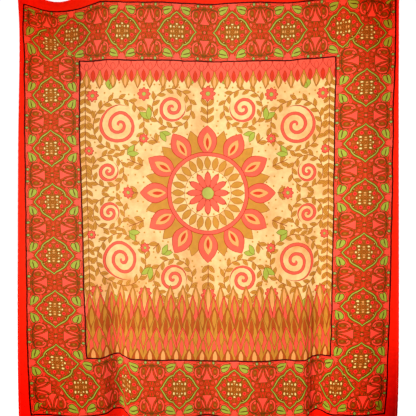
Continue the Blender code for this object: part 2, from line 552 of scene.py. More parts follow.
class Drawing:
    """Layers of dye, each laid where a reach is small enough. Dyes go by their names."""

    SHARPNESS = 1.1

    def __init__(self, shader, dyes, colour):
        self.shader, self.dyes, self.colour = shader, dyes, colour

    def fill(self, reach, dye, grown=0.0, sharpness=SHARPNESS):
        """Dyes where the reach is below grown."""
        share = reach.scaled(-sharpness, grown * sharpness + 0.5)
        self.colour = self.shader.mixed(share, self.colour, self.dyes[dye])

    def layers(self, reach, rows):
        """Dyes of one shape over one another."""
        for row in rows:
            self.fill(reach, *row)

    def lined(self, reach, line_dye, dye, line):
        """A shape over its own drawn line, if that has a width."""
        if line:
            self.fill(reach, line_dye, line)
        self.fill(reach, dye)

    def ovals(self, place, rows):
        """Prints a table of ovals."""
        for oval in rows:
            reach = place.oval((oval.along, oval.off), (oval.half_along, oval.half_off), oval.turn)
            self.lined(reach, oval.line_dye, oval.dye, oval.line)

    def veined_leaf(self, place, centre, size, turn, line, vein_share, ends=None):
        """A leaf with its drawn line and its midrib, a straight bar that stops short of the tips. Where the
        reach of its ends is given, it is cut off there."""
        x, y = place.local(centre, size, turn)
        across = abs(y)
        leaf = x.scaled(x, across).scaled(size[1], -size[1])
        self.lined(leaf.most(ends) if ends else leaf, "sepia", "ochre", line)
        vein = across.scaled(size[1], -VEIN_HALF_WIDTH).most(abs(x).scaled(size[0], -vein_share * size[0]))
        self.fill(vein.most(ends) if ends else vein, "sepia")


# The last two columns of a shape without a drawn line round it
UNLINED = (0, "")

# Outlines given as a radius, in millimetres, by the angle round a middle, in degrees from the band's
# direction: a quarter for the medallion's rim, and the whole way round for the heart leaf
MEDALLION_RIM = (
    (0, 103.5), (5, 95.5), (11.5, 89.5), (20, 86.2), (30, 85), (42, 85.4), (53, 84.8), (61, 82.6), (65.5, 81),
    (70, 86.5), (76, 94), (83, 101), (90, 110),
)
HEART_MIDDLE = (51.5, 117.5)
HEART_LEAF = (
    (-180, 21.5), (-150, 18.5), (-124, 17.5), (-100, 20.5), (-75, 24), (-50, 24), (-33, 23), (-15, 14.5),
    (2, 21), (24, 23), (50, 21), (70, 20.2), (95, 21.5), (123, 25), (144, 36), (160, 26), (180, 21.5),
)

# The bell's half width by how far it is off the band's middle, and the stem's own place off by along
BELL_HALF_WIDTHS = (
    (40, 24), (47, 24.5), (54, 21.5), (62, 16.5), (71, 12), (80, 7.8), (90, 4.8), (101, 2.4), (118, 0),
)
STEM_OFFS = (
    (40, 118.5), (62, 116), (76, 115.5), (88, 117), (98, 121.5), (108, 126.5), (120, 131), (132, 131.5),
    (150, 128.5),
)

# What counts as 1 in the curves of these tables: for radii, places and offs, and for the bell's half widths
CHART_FULL = 150.0
BELL_FULL = 32.0

# Where the coral strip along both edges of the band starts, how near the bell comes to the band's middle,
# where the stem starts and the heart leaf's ground ends along the band, and the widths of their lines. The
# fan's edge by its slope and its start
STRIP_FROM, STRIP_LINE = 138.0, 3.5
BELL_FROM, BELL_LINE, BELL_INSET = 43.5, 3.2, 1.0
STEM_FROM, STEM_HALF_WIDTH = 50.0, 2.0
HEART_TO, HEART_LINE = 68.0, 4.2
FAN_SLOPE, FAN_START = 0.5, 53.5
MITRE_HALF_WIDTH = 2.0

# The lattice in the medallion's middle: its half sizes, how soft its edge is, how far inside that its rings
# end, their pitch and their width
LATTICE_HALF = (40.0, 44.0)
LATTICE_SHARPNESS = 0.2
LATTICE_RIM = 4.0
RING_PITCH = 5.5
RING_WIDTH = 1.6

# Layers of the medallion's rim, of the fan at its head and round the heart leaf, from the outside in: each
# dye, how far it reaches past the shape, and how sharp its edge is where that isn't the usual
RIM_LAYERS = (
    ("ground", 13.0), ("olive", 7.6), ("medallion", 2.8), ("olive", -3.0), ("ground", -8.0, 0.4),
    ("heart", -24.0, 0.12),
)
FAN_LAYERS = (("brown", 5.5), ("coral", 2.4))
HEART_LAYERS = (("brown", 11.5), ("coral", 9.0))

# Ovals of the border in one quarter of a repeat, in the order of printing, in millimetres: along is from
# the medallion's middle, off is from the band's middle, and line is the width of the drawn line round it
OVAL_COLUMNS = "along off half_along half_off turn dye line line_dye"
SCROLL_OVALS = table(
    OVAL_COLUMNS,
    (111, 90, 36, 44.5, 0, "brown"),
    (111, 90, 32.8, 41.3, 0, "ground"),
    (68, 80, 13, 9, 0, "flower", 2.6, "brown"),
    (107, 91, 25, 35.5, 0, "coral", 2.6, "brown"),
    (110.5, 93.5, 18.5, 28.5, 0, "ground", 2.6, "brown"),
    (109, 70, 9.5, 5.6, -35, "coral", 2.2, "brown"),
    (105.5, 97, 9.0, 14.5, 0, "heart", 2.4, "brown"),
    (105.5, 97, 3.2, 8.0, 0, "tan", 2.0, "olive"),
    (130, 95, 4.4, 28, -19, "coral", 3.0, "brown"),
    (103, 31.5, 18, 6.0, -57, "coral", 2.4, "brown"),
    (130, 0, 15, 1.8, 0, "tan"),
    (118.5, 25.5, 13.0, 13.0, 0, "ground", 2.8, "brown"),
    (118.5, 25.5, 7.4, 7.4, 0, "flower", 2.4, "brown"),
    (118.5, 26.0, 2.6, 3.0, 0, "olive"),
    (136.5, 20, 3.0, 13.0, 12, "ground", 2.6, "brown"),
    (150, 0, 6.0, 7.5, 0, "coral", 3.0, "brown"),
    (150, 30, 2.6, 9.5, 0, "olive"),
    (124, 150, 24, 9.5, 0, "ground"),
    (137, 147, 6.5, 5.5, 0, "coral", 2.0, "brown"),
    (150, 121, 3.0, 25, 0, "olive"),
    (104, 140, 9.0, 3.0, -50, "coral", 2.2, "brown"),
    (115.5, 147, 5.6, 7.0, 0, "deep_green", 3.4, "olive"),
    defaults=UNLINED,
)
HEART_OVALS = table(
    OVAL_COLUMNS,
    (53, 120.5, 21, 3.0, -14, "stem"),
    (25.5, 145, 3.4, 3.4, 0, "wine"),
    defaults=UNLINED,
)
MEDALLION_OVALS = table(
    OVAL_COLUMNS,
    (46, 58, 11, 7, -30, "brown"),
    (0, 0, 4.4, 4.4, 0, "tan", 2.0, "olive"),
    (15.5, 0, 2.6, 9.5, 0, "amber", 1.8, "olive"),
    (13.5, 13.5, 2.8, 3.4, 0, "tan", 1.6, "olive"),
    (0, 16.5, 3.6, 3.0, 0, "tan", 2.0, "olive"),
    (28, 0, 4.4, 7.5, 0, "amber", 1.8, "olive"),
    (31, 13.0, 3.0, 3.0, 0, "tan", 1.6, "olive"),
    (31, 26.5, 4.6, 7.4, 0, "cream", 1.8, "olive"),
    (13.2, 25.5, 3.4, 4.6, 0, "cream", 1.8, "olive"),
    (0, 28.5, 3.0, 3.0, 0, "amber", 1.6, "olive"),
    (0, 41.5, 5.4, 4.4, 0, "cream", 1.8, "olive"),
    (0, 64, 2.8, 8.0, 0, "tan"),
    (59, 0, 8.5, 2.0, 0, "tan", 2.0, "olive"),
    (73, 0, 5.0, 12, 0, "coral", 2.4, "brown"),
    (54, 20.5, 10.5, 10.5, 0, "flower", 2.8, "brown"),
    (54, 20.5, 4.6, 4.6, 0, "eye"),
    (22.5, 51, 10.5, 10.5, 0, "flower", 2.8, "brown"),
    (22.5, 51, 4.6, 4.6, 0, "eye"),
    (1, 80.5, 10.5, 5.4, 0, "coral", 2.4, "brown"),
    (40, 43, 4.0, 4.0, 0, "tan", 2.0, "olive"),
    (47, 57, 3.2, 3.2, 0, "amber", 2.2, "olive"),
    (58, 44, 3.2, 3.2, 0, "tan", 2.2, "olive"),
    (34, 66, 3.4, 3.0, 0, "tan", 2.2, "olive"),
    (70, 28, 3.0, 3.0, 0, "tan", 2.2, "olive"),
    defaults=UNLINED,
)


def cell_place(across, down):
    """Where a point lies in a repeat of the border. Inward is the distance from the nearest side of the
    outline, a point belongs to the side that is nearest, along is folded at each medallion and halfway
    between two, and off is the distance from the band's middle."""
    side_in = OUTLINE_HALF_WIDTH - abs(across)
    end_in = OUTLINE_DROP / 2 - abs(down - OUTLINE_DROP / 2)
    inward = side_in.least(end_in)
    on_side = side_in.math("LESS_THAN", end_in)
    right = across.math("GREATER_THAN", 0.0)
    low = down.math("GREATER_THAN", OUTLINE_DROP / 2)

    def along(place, switch, bands, start):
        rates = [2 * CELL / pitch for first, pitch in bands]
        shifts = [(start - first) * rate for (first, pitch), rate in zip(bands, rates)]
        rate = switch.scaled(rates[1] - rates[0], rates[0])
        shift = switch.scaled(shifts[1] - shifts[0], shifts[0])
        return place.scaled(rate, shift)

    side = along(down, right, (LEFT_BAND, RIGHT_BAND), 0.0)
    end = along(across, low, (TOP_BAND, BOTTOM_BAND), OUTLINE_HALF_WIDTH)
    closer = across.scaled(-1.0, CLOSE_AT).most(0.0) * (1.0 - low)
    end = closer.scaled(2 * CELL / TOP_BAND[1] - 2 * CELL / CLOSE_PITCH, end)
    folded = (end + on_side * (side - end)).math("PINGPONG", CELL)
    off = abs(inward - BAND_WIDTH / 2)
    return inward, folded, off, side_in - end_in


def draw_border(shader, place, dyes):
    """One repeat of the border: red ground, scrolls, bells and heart leaves, then the medallion on top."""
    drawing = Drawing(shader, dyes, dyes["ground"])
    fill = drawing.fill
    along, off = place.x, place.y
    rim = place.rounded((0.0, 0.0), MEDALLION_RIM)

    # Coral strip along both edges of the band
    fill(STRIP_FROM - off, "brown")
    fill(STRIP_FROM + STRIP_LINE - off, "flower")
    drawing.ovals(place, SCROLL_OVALS)

    # Bell on the halfway axis: its half width narrows away from the band's middle
    points = [(at / CHART_FULL, half / BELL_FULL) for at, half in BELL_HALF_WIDTHS]
    bell = shader.curve(off * (1 / CHART_FULL), points).scaled(-BELL_FULL, CELL - along)
    fill(bell.most(BELL_FROM - off), "brown", BELL_LINE)
    fill(bell.most(BELL_FROM + BELL_INSET - off), "coral")

    # Stem from the leaf to the halfway axis, fan at the medallion's head, and the heart leaf beside it
    points = [(at / CHART_FULL, wave / CHART_FULL) for at, wave in STEM_OFFS]
    stem = shader.curve(along * (1 / CHART_FULL), points)
    fill(abs(stem.scaled(-CHART_FULL, off)).most(STEM_FROM - along), "stem", STEM_HALF_WIDTH)
    drawing.layers(off.scaled(-FAN_SLOPE, along + FAN_START), FAN_LAYERS)
    heart = place.rounded(HEART_MIDDLE, HEART_LEAF)
    drawing.layers(heart.most(along - HEART_TO), HEART_LAYERS)
    drawing.lined(heart, "olive", "leaf", HEART_LINE)
    drawing.ovals(place, HEART_OVALS)

    # Medallion
    drawing.layers(rim, RIM_LAYERS)
    middle = (along - LATTICE_HALF[0]).most(off - LATTICE_HALF[1])
    fill(middle, "lattice", 0.0, LATTICE_SHARPNESS)
    rings = place.distance((0.0, 0.0)).math("PINGPONG", RING_PITCH) - RING_WIDTH
    fill(rings.most(middle + LATTICE_RIM), "tan")
    drawing.ovals(place, MEDALLION_OVALS)
    return drawing.colour


# Scrolls of the panel in a quarter of it: middle, radius, gap of the spiral, its turn and hand, leaves
PANEL_SCROLLS = table(
    "across down radius gap turn hand leaves",
    (492, 372, 108, 50, 20, 1.0, 15),
    (196, 468, 72, 42, 150, -1.0, 11),
    (560, 116, 54, 34, 90, -1.0, 9),
)

# The panel's place on the print
PANEL_MIDDLE = 1050.0
PANEL_TOP = BAND_WIDTH
PANEL_BOTTOM = OUTLINE_DROP - BAND_WIDTH
PANEL_HALF_WIDTH = OUTLINE_HALF_WIDTH - BAND_WIDTH

# Rosettes of the panel in a quarter of it: middle and size
ROSETTES = ((352, 545, 34), (640, 540, 30), (352, 300, 24), (0, 555, 40), (448, 0, 30), (660, 232, 22))

# Small paired green leaves: middle, size and turn
BUDS = ((322, 412, 34, 60), (440, 214, 32, 150), (86, 612, 30, 70), (548, 575, 30, 100), (255, 330, 30, 215))

# Leafy sprays: how far along its stem a spray starts, the pitch of its paired leaves, their half length and
# half width, and how far they lean forward, in degrees
FLOWER_SPRAY, SIDE_SPRAY = table(
    "start pitch half_length half_width lean",
    (388.0, 46.0, 25.0, 10.5, 38.0),
    (-2000.0, 46.0, 22.0, 9.5, 36.0),
)

# How far the side spray stands in from the panel's edge, and how far off its stem a spray's leaves start.
# Their middles are further out, and further along than halfway, by shares of their half length, and their
# midribs are a share of it too
SPRAY_INSET = 30.0
LEAF_START = 3.0
LEAF_REACH, LEAF_SHIFT, SPRAY_VEIN = 1.02, 0.1, 0.7

# Pairs of leaves on the sprays round the large flower, from one to the next in a quarter of the panel. Each
# is a step of the curve that ends the sprays, so wide to both sides, and so many pairs count as 1 in it
SPRAY_PAIRS = (1, 2, 1, 0, 3)
SPRAY_WEDGES = 16
HALF_STEP = 0.499
PAIRS_FULL = 8

# The garland round a scroll: how far outside the scroll it is, its leaves' half length, half width and share
# of a midrib, and for its outer and inner sides the half pitches by which the leaves are moved on, how far
# out their middles are, and how they lean
GARLAND_OUT = 34.0
GARLAND_LEAF = (23.0, 9.5)
GARLAND_VEIN = 0.72
GARLAND_SIDES = ((0, 15.0, 50.0), (1, -13.0, -50.0))

# A rosette's petals and its middle, as shares of its size: how far out the petals are, their half length and
# half width, and the middle's radius. A pair of buds by its slant to both sides, and a bud's middle and half
# width as shares of its size
ROSETTE_PETALS = 8
ROSETTE_SHARES = (0.62, 0.38, 0.25, 0.3)
BUD_SLANT, BUD_OUT, BUD_WIDTH = 28, 0.8, 0.42

# The smaller petal in each petal of a row: how far below the tip its middle is, its half length and its half
# width, as shares of the petal's own
INNER_PETAL = (0.50, 0.42, 0.34)

# Half widths of the vines and of the midribs, and widths of the panel's drawn lines
VINE_HALF_WIDTH, VEIN_HALF_WIDTH = 6.5, 0.9
PETAL_LINE, VINE_LINE, LEAF_LINE, THIN_LINE = 3.0, 2.6, 2.4, 2.2

# Rings of the large round flower, from the outside in: petals of a half length and a half width, at a
# distance from the middle, in so many wedges, or a disc where there are none
FLOWER_RINGS = table(
    "pointed wedges turn at half_length half_width dye line line_dye",
    (True, 12, 15, 262, 92, 38, "ochre", 3.0, "sepia"),
    (True, 12, 0, 292, 84, 52, "rose", 4.0, "wine"),
    (True, 12, 0, 286, 52, 24, "amber", 2.0, "wine"),
    (True, 12, 0, 280, 30, 9, "ground"),
    (False, 0, 0, 0, 226, 226, "rose", 3.5, "wine"),
    (False, 0, 0, 0, 206, 206, "cloudy", 3.0, "wine"),
    (True, 24, 0, 168, 36, 16, "ochre", 2.6, "sepia"),
    (False, 0, 0, 0, 130, 130, "paper", 2.8, "sepia"),
    (False, 24, 0, 121, 5, 5, "ochre"),
    (False, 12, 0, 74, 38, 16, "rose", 2.6, "wine"),
    (False, 0, 0, 0, 32, 32, "medallion", 2.6, "sepia"),
    defaults=UNLINED,
)

# Rows of upright petals along the panel's foot, the back row first, and of hanging ones along its head:
# tip's distance from the edge, half length, half width, half pitch, start, and the three dyes
PETAL_COLUMNS = "tip half_length half_width half_pitch start line dye inner"
FOOT_PETALS = table(
    PETAL_COLUMNS,
    (405, 150, 34, 35.4, 0.0, "sepia", "ochre", "amber"),
    (352, 140, 30, 29.5, 29.5, "wine", "rose", "ochre"),
    (292, 130, 35, 35.4, 35.4, "sepia", "heart", "ochre"),
    (238, 120, 30, 29.5, 0.0, "sepia", "ochre", "heart"),
    (178, 110, 34, 35.4, 0.0, "wine", "rose", "ochre"),
    (122, 110, 30, 29.5, 29.5, "sepia", "ochre", "rose"),
    (62, 90, 34, 35.4, 35.4, "sepia", "heart", "amber"),
)
HEAD_PETALS = table(
    PETAL_COLUMNS,
    (152, 78, 24, 35.4, 35.4, "sepia", "ochre", "amber"),
    (118, 70, 30, 35.4, 0.0, "wine", "rose", "ground"),
    (56, 46, 32, 35.4, 35.4, "wine", "rose", "rose"),
)


def draw_petals(drawing, rows, across, from_edge):
    """Rows of pointed petals side by side, each row over the last, with a smaller petal in each."""
    for row in rows:
        folded = (across + row.start).math("PINGPONG", row.half_pitch)
        place = Place(drawing.shader, from_edge, folded)
        middle = row.tip - row.half_length
        petal = place.leaf((middle, 0), (row.half_length, row.half_width))
        petal = petal.least((from_edge - middle).most(folded - row.half_width))
        drawing.lined(petal, row.line, row.dye, PETAL_LINE)
        below, length, width = INNER_PETAL
        size = (row.half_length * length, row.half_width * width)
        inner = place.leaf((row.tip - row.half_length * below, 0), size)
        drawing.lined(inner, row.line, row.inner, THIN_LINE)


def draw_spray(drawing, place, spray, end):
    """A stem along the place's first part as far as its end, with pairs of slanted leaves along it."""
    ends = (spray.start + LEAF_START - place.x).most(place.x - end)
    aside = abs(place.y)
    drawing.fill(aside.most(ends), "sepia", LEAF_LINE)
    one = Place(drawing.shader, (place.x - spray.start).math("WRAP", spray.pitch, 0.0), aside)
    reach = spray.half_length * LEAF_REACH
    out = reach * float(np.sin(np.radians(spray.lean))) + LEAF_START
    middle = (spray.pitch / 2 + reach * LEAF_SHIFT, out)
    size = (spray.half_length, spray.half_width)
    drawing.veined_leaf(one, middle, size, spray.lean, LEAF_LINE, SPRAY_VEIN, ends)


def draw_garland(drawing, place, centre, radius, leaves):
    """A ring of stem with slanted leaves along both of its sides."""
    drawing.fill(abs(place.oval(centre, (radius, radius))), "sepia", THIN_LINE)
    for half_pitches, out, lean in GARLAND_SIDES:
        wedge = place.wedge(centre, leaves, half_pitches * 180 / leaves, mirrored=False)
        drawing.veined_leaf(wedge, (radius + out, 0.0), GARLAND_LEAF, lean, THIN_LINE, GARLAND_VEIN)


def draw_rosette(drawing, place, centre, size):
    """A small flower of round petals."""
    out, length, width, middle = (size * share for share in ROSETTE_SHARES)
    petal = place.wedge(centre, ROSETTE_PETALS).oval((out, 0), (length, width))
    drawing.lined(petal, "wine", "rose", VINE_LINE)
    drawing.lined(place.oval(centre, (middle, middle)), "sepia", "medallion", LEAF_LINE)


def draw_round_flower(drawing, place):
    """The large round flower in the middle: rings of petals and leaves, from the outside in."""
    wedges = {(0, 0): place}
    for ring in FLOWER_RINGS:
        key = (ring.wedges, ring.turn)
        if key not in wedges:
            wedges[key] = place.wedge((0, 0), *key)
        shape = wedges[key].leaf if ring.pointed else wedges[key].oval
        reach = shape((ring.at, 0), (ring.half_length, ring.half_width))
        drawing.lined(reach, ring.line_dye, ring.dye, ring.line)


def draw_panel(shader, across, down, seeds, dyes):
    """The panel inside the border, the same left and right: a large round flower with leafy scrolls and
    small flowers round it, petals hanging from the head and rows of petals rising from the foot."""
    quarter = Place(shader, abs(across), abs(down - PANEL_MIDDLE))
    drawing = Drawing(shader, dyes, dyes["cloudy"])
    drawing.fill(seeds, "ochre", SEED_RADIUS)

    # Each spray round the large flower ends after its own pairs of leaves: a curve of steps by the angle
    count = len(SPRAY_PAIRS)
    steps = [((number + side * HALF_STEP + 0.5) / count, (pairs + 1) / PAIRS_FULL)
             for number, pairs in enumerate(SPRAY_PAIRS) for side in (-1, 1)]
    share = quarter.angle((0, 0)).scaled(SPRAY_WEDGES / 2 / np.pi / count, 0.5 / count)
    pitch = FLOWER_SPRAY.pitch
    end = shader.curve(share, steps).scaled(PAIRS_FULL * pitch, FLOWER_SPRAY.start - pitch)
    draw_spray(drawing, quarter.wedge((0, 0), SPRAY_WEDGES), FLOWER_SPRAY, end)
    side = Place(shader, down - PANEL_MIDDLE, quarter.x - (PANEL_HALF_WIDTH - SPRAY_INSET))
    draw_spray(drawing, side, SIDE_SPRAY, -SIDE_SPRAY.start)

    for scroll in PANEL_SCROLLS:
        centre, ring = (scroll.across, scroll.down), scroll.radius + GARLAND_OUT
        drawing.fill(quarter.oval(centre, (ring, ring)), "cloudy")
        draw_garland(drawing, quarter, centre, ring, scroll.leaves)
        line, reach = quarter.spiral(centre, scroll.gap, scroll.turn, scroll.hand)
        drawing.lined((line - VINE_HALF_WIDTH).most(reach - scroll.radius), "wine", "rose", VINE_LINE)
    for *centre, size in ROSETTES:
        draw_rosette(drawing, quarter, centre, size)
    for across_at, down_at, size, turn in BUDS:
        for slant in (turn - BUD_SLANT, turn + BUD_SLANT):
            out, lean = size * BUD_OUT, np.radians(slant)
            middle = (across_at + out * np.cos(lean), down_at + out * np.sin(lean))
            bud = quarter.leaf(middle, (size, size * BUD_WIDTH), slant)
            drawing.lined(bud, "olive", "leaf", VINE_LINE)
    draw_round_flower(drawing, quarter)
    draw_petals(drawing, HEAD_PETALS, across, down - PANEL_TOP)
    draw_petals(drawing, FOOT_PETALS, across, PANEL_BOTTOM - down)
    return drawing.colour


def print_place(shader, flat):
    """Across and down on the flat print in millimetres, each moved a little by slow and by quick noise."""
    noises = [
        shader.add("SeparateColor", {}, {0: shader.noise(flat, scale, out=1)}) for scale in WOBBLE_SCALES
    ]
    first = shader.add("SeparateXYZ", {}, {0: flat})
    parts = []
    for part, start in ((0, 0.0), (1, -OUTLINE_TOP)):
        value = first.part(part).scaled(1000.0, start)
        for noise, size in zip(noises, WOBBLE_SIZES):
            value = (noise.part(part) - 0.5).scaled(size, value)
        parts.append(value)
    return parts


def painted_shade(shader, colour, across, down, mottle):
    """Dye that is uneven, with painted shade on it: deeper towards the corners, the foot and the right side,
    and redder in the corners, as light that falls off from a lit middle. The corner shade is the square of
    the squared distance from that middle, and low and right rise evenly."""
    aside = across * (1 / SHADE_REACH[0])
    below = down.scaled(1 / SHADE_REACH[1], -LIT_MIDDLE_DOWN / SHADE_REACH[1])
    spread = aside.scaled(aside, below * below)
    corner = spread * spread
    tone = corner.scaled(TONE_SHADE, mottle.scaled(TONE_MOTTLE, TONE_START))
    # Painted shade: the lower right corner is darker
    edge = [
        part.scaled(1 / reach, -start / reach, clamp=True)
        for part, start, reach in zip((across, down), SHADED_CORNER_START, SHADED_CORNER_REACH)
    ]
    tone = (edge[0] * edge[1]).scaled(-SHADED_CORNER_DARK, tone)
    colour = shader.add("HueSaturation", {}, {"Value": tone, "Color": colour})
    # Painted shade: deeper towards the corners, the foot and the right side, and redder in the corners
    low = down.scaled(1 / LOW_SHADE_RUN, -LOW_SHADE_FROM / LOW_SHADE_RUN, clamp=True)
    right = across.scaled(1 / RIGHT_SHADE_RUN, RIGHT_SHADE_START, clamp=True)
    depth = corner.scaled(SHADE_POWER_CORNER, low.scaled(SHADE_POWER_LOW, right.scaled(SHADE_POWER_RIGHT, SHADE_POWER_START)))
    colour = shader.add("Gamma", {}, {"Color": colour, "Gamma": depth})
    redder = corner.scaled(SHADE_REDDER_CORNER, low.scaled(SHADE_REDDER_LOW, SHADE_REDDER_START), clamp=True)
    return shader.mixed(redder, colour, SHADE_REDDER_TINT, "MULTIPLY")


def printed_cotton(settings):
    """Plain-woven cotton with its print: layers of dye on the flat cloth in millimetres, uneven dye with
    painted shade towards the corners, the foot and the right side, and a fine bump of crossing threads. The
    undyed reverse shows the print faintly."""
    shader = Shader(bpy.data.materials.new("printed cotton"))
    dyes = {name: tuple(getattr(settings, name)) for name in settings.__annotations__}
    flat = shader.add("UVMap", {"uv_map": PRINT_MAP}, {})
    mottle = shader.noise(flat, scale=34.0, detail=4.0, roughness=0.6)
    stain = shader.noise(flat, scale=6.0, detail=4.0, roughness=0.65)
    scattered = {"Vector": flat, "Scale": SEED_SCALE, "Randomness": 0.55}
    seeds = shader.add("TexVoronoi", {"voronoi_dimensions": "2D"}, scattered)
    across, down = print_place(shader, flat)

    inward, along, off, mitre = cell_place(across, down)
    drawing = Drawing(shader, dyes, draw_border(shader, Place(shader, along, off), dyes))
    drawing.fill(abs(mitre), "lattice", MITRE_HALF_WIDTH)
    share = (down * (1 / OUTLINE_DROP)).scaled(STAIN_DOWN, stain.scaled(STAIN_NOISE, STAIN_START))
    dyes["cloudy"] = shader.mixed(share, dyes["paper"], dyes["amber"])
    dyes["panel"] = draw_panel(shader, across, down, seeds * SEED_CELL, dyes)
    drawing.fill(BAND_WIDTH - inward, "panel", -LINE_WIDTH / 2)
    drawing.fill(inward, "margin")
    drawing.fill(abs(inward), "outline", LINE_WIDTH / 2)
    drawing.fill(abs(inward - BAND_WIDTH), "outline", LINE_WIDTH / 2)
    # Uneven dye, with painted shade towards the corners, the foot and the right side
    colour = painted_shade(shader, drawing.colour, across, down, mottle)
    face = shader.add("Attribute", {"attribute_name": FACE_SIDE}, {}, 2)
    colour = shader.mixed(face.scaled(-REVERSE_COVER, REVERSE_COVER), colour, dyes["backing"])

    threads = [
        shader.noise(shader.add("Mapping", {}, {"Vector": flat, "Scale": scale}), scale=1.0, detail=1.0)
        for scale in THREAD_SCALES
    ]
    bump = shader.add("Bump", {}, {"Strength": 0.35, "Distance": 0.0006, "Height": threads[0] + threads[1]})
    rough = mottle.scaled(ROUGH_MOTTLE, ROUGH_START)
    shader.feed(shader.surface, {"Base Color": colour, "Roughness": rough, "Normal": bump})
    shader.surface.inputs["Specular IOR Level"].default_value = 0.0
    return shader.owner


def hump(distance):
    """One smooth bump: 1 at no distance, 0 from a distance of 1 outwards."""
    return 0.5 + 0.5 * np.cos(np.pi * np.clip(distance, -1.0, 1.0))


def half_width(down):
    """Half of the flat cloth's width: it was cut a little wider towards the bottom."""
    return PRINT_WIDTH / 2 + SIDE_MARGIN + SIDE_FLARE * (down / CLOTH_DROP) ** FLARE_GROWTH


def fold_depth(across, down):
    """How far back the cloth lies: the sum of its vertical folds, less the rolls under the sags."""
    part_down = down / CLOTH_DROP
    depth = np.zeros(np.broadcast(across, down).shape)
    for fold in FOLDS:
        centre = fold.top_at + (fold.bottom_at - fold.top_at) * part_down
        size = fold.top_depth + (fold.bottom_depth - fold.top_depth) * part_down ** fold.growth
        depth = depth + size * hump((across - centre) / fold.half_width)
    for sag in SAGS:
        below = down / sag.reach
        depth = depth - sag.roll * below * np.exp(1 - below) * hump((across - sag.at) / sag.half_width)
    return depth


def rise(across, down):
    """How far a point is moved up from where a flat cloth would have it."""
    part_down = down / CLOTH_DROP
    to_corner = np.maximum((across - CORNER_FROM) / CORNER_RUN, 0.0)
    total = CORNER_RISE * to_corner ** CORNER_CURVE * (1 - part_down) ** CORNER_FADE
    for sag in SAGS:
        total = total - sag.drop * np.exp(-down / sag.reach) * hump((across - sag.at) / sag.half_width)
    for lift in LIFTS:
        total = total + lift.height * part_down ** lift.growth * hump((across - lift.at) / lift.half_width)
    return total


def width_hung(across, down):
    """Where each point of a row lands once the folds take up cloth: the length along the row is kept."""
    steps = np.linspace(-1.0, 1.0, MEASURE_STEPS + 1)[None, :] * (half_width(down) + HEM_WIDTH)
    back = np.diff(fold_depth(steps, down), axis=1)
    run = np.sqrt(np.maximum(np.diff(steps, axis=1) ** 2 - back**2, 0.0))
    hung = np.concatenate([np.zeros((len(down), 1)), np.cumsum(run, axis=1)], axis=1)
    hung = hung - hung[:, MEASURE_STEPS // 2, None]
    return np.stack([np.interp(wanted, flat, place) for wanted, flat, place in zip(across, steps, hung)])


def fine_depth(across, down):
    """Creases and ripples: each crease is a bump across its line, wider to one side than to the other and
    fading to both ends, and each ripple the product of a wave across and a wave down."""
    depth = np.zeros(np.broadcast(across, down).shape)
    for crease in CREASES:
        start = np.array([crease.from_across, crease.from_down])
        run = np.array([crease.to_across, crease.to_down]) - start
        length = np.hypot(*run)
        x, y = across - start[0], down - start[1]
        part = (x * run[0] + y * run[1]) / length**2
        aside = (x * run[1] - y * run[0]) / length
        ends = np.sqrt(np.clip(np.sin(np.pi * np.clip(part, 0.0, 1.0)), 0.0, 1.0))
        width = np.where(aside < 0, crease.left, crease.right)
        depth = depth + crease.depth * ends * hump(aside / width)
    for wave in RIPPLES:
        bent = across + RIPPLE_BEND * np.sin(down * BEND_RATE + wave.down_start)
        sideways = np.sin(2 * np.pi * bent / wave.across_length + wave.across_start)
        downwards = np.cos(2 * np.pi * down / wave.down_length + wave.down_start)
        depth = depth + wave.height * sideways * (RIPPLE_EVEN + (1 - RIPPLE_EVEN) * downwards)
    return depth


def hem_share(across, down):
    """1 on the cloth's edge and 0 from the puckers' reach inwards, how far in from the edge a point lies,
    and how far round the edge."""
    from_side = half_width(down) - np.abs(across)
    from_end = np.minimum(down, CLOTH_DROP - down)
    inward = np.minimum(from_side, from_end)
    around = np.where(from_side < from_end, down, across)
    return np.clip(1 - inward / PUCKER_REACH, 0.0, 1.0), inward, around


def hung_points(across, down, settings, x):
    """Points of the hung cloth's face from flat ones and where they land across, with the middle of the top
    edge at the origin: the hem's puckers are a wave along the edge, with a wandering phase and depth."""
    middle = np.zeros((1, 1))
    share, _, around = hem_share(across, down)
    phase = 2 * np.pi * around / settings.pucker_length + PUCKER_WANDER * np.sin(around * WANDER_RATE)
    change = 1 - PUCKER_CHANGE + PUCKER_CHANGE * np.sin(around * CHANGE_RATE)
    pucker = settings.pucker_depth * share * np.sin(phase) * change
    y = fold_depth(across, down) - fold_depth(middle, middle) + fine_depth(across, down) + pucker
    z = rise(across, down) - down - rise(middle, middle)
    return np.stack([x, y, z + 0 * x], axis=2)


def loose_points(across, down, settings):
    """hung_points for a list of loose flat points: where they land across is looked up in a grid of rows,
    evenly between its four nearest places."""
    heights = np.linspace(0.0, CLOTH_DROP, LOOK_ROWS + 1)[:, None]
    steps = np.linspace(-1.0, 1.0, LOOK_COLUMNS + 1)[None, :] * (half_width(heights) + HEM_WIDTH)
    widths = width_hung(steps, heights)
    row = np.clip(down / CLOTH_DROP * LOOK_ROWS, 0, LOOK_ROWS - 0.001)
    column = (across / (half_width(down) + HEM_WIDTH) + 1) * LOOK_COLUMNS / 2
    column = np.clip(column, 0, LOOK_COLUMNS - 0.001)
    low, left = row.astype(int), column.astype(int)
    part, share = row - low, column - left
    upper, lower = (widths[at, left] * (1 - share) + widths[at, left + 1] * share for at in (low, low + 1))
    x = upper * (1 - part) + lower * part
    return hung_points(across[None], down[None], settings, x[None])[0]


def stations(first, last, count, fine=()):
    """Places from one edge to the other: some in each hem, and the field between them, closer together near
    the fine places: the field's steps are even in the running sum of a density."""
    hem = np.array(HEM_STATIONS)
    steps = np.linspace(first + hem[-1], last - hem[-1], DENSITY_STEPS)
    density = 1 + FINE_GAIN * sum((hump((steps - place) / FINE_REACH) for place in fine), 0 * steps)
    total = np.concatenate([[0.0], np.cumsum((density[1:] + density[:-1]) / 2)])
    share = np.linspace(0.0, 1.0, count - 2 * len(hem) + 2)[1:-1]
    field = np.interp(share * total[-1], total, steps)
    return np.concatenate([first + hem, field, (last - hem)[::-1]])


